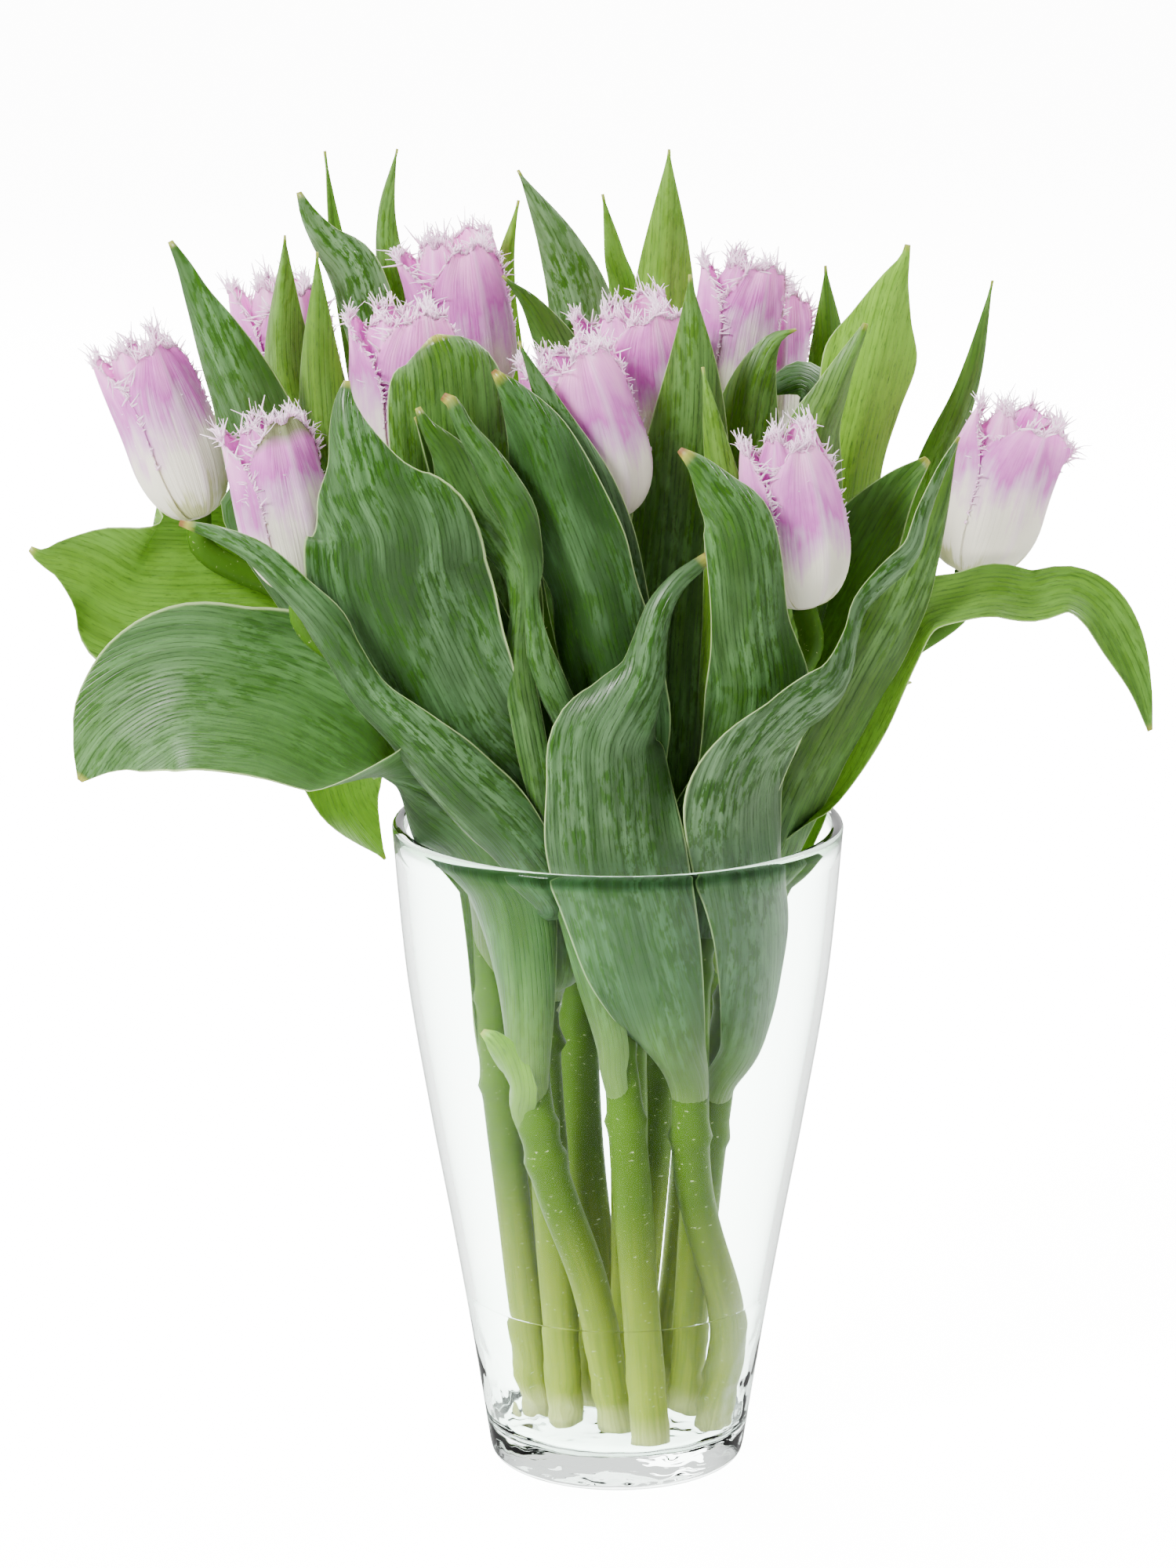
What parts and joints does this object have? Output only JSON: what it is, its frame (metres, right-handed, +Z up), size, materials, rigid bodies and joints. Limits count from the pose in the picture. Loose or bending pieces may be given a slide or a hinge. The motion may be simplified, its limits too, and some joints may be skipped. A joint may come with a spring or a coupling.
{
  "type": "fringed tulips in a glass vase",
  "caption": "Cut fringed tulips with leafy stems and lilac, pale-based blooms, standing in a tall tapered clear glass vase with a little water.",
  "frame": {"origin": "centre of the vase's flat underside", "axes": "+Z up along the vase's axis, -Y towards the front of the bunch, +X to the right seen from the front"},
  "size_m": [0.3722, 0.1814, 0.4392],
  "materials": {
    "glass": "clear polished",
    "water": "clear liquid",
    "leaf": "waxy satin",
    "petal": "soft satin"
  },
  "bodies": {
    "root": {"vase": "glass", "water": "water", "stem_far_left": "leaf", "bloom_far_left": "petal", "stem_back_left": "leaf", "bloom_back_left": "petal", "stem_low_left": "leaf", "bloom_low_left": "petal", "stem_centre_left": "leaf", "bloom_centre_left": "petal", "stem_back_centre_left": "leaf", "bloom_back_centre_left": "petal", "stem_front_centre": "leaf", "bloom_front_centre": "petal", "stem_centre": "leaf", "bloom_centre": "petal", "stem_back_centre_right": "leaf", "bloom_back_centre_right": "petal", "stem_back_right": "leaf", "bloom_back_right": "petal", "stem_right_front": "leaf", "bloom_right_front": "petal", "stem_far_right": "leaf", "bloom_far_right": "petal"}
  },
  "joints": []
}
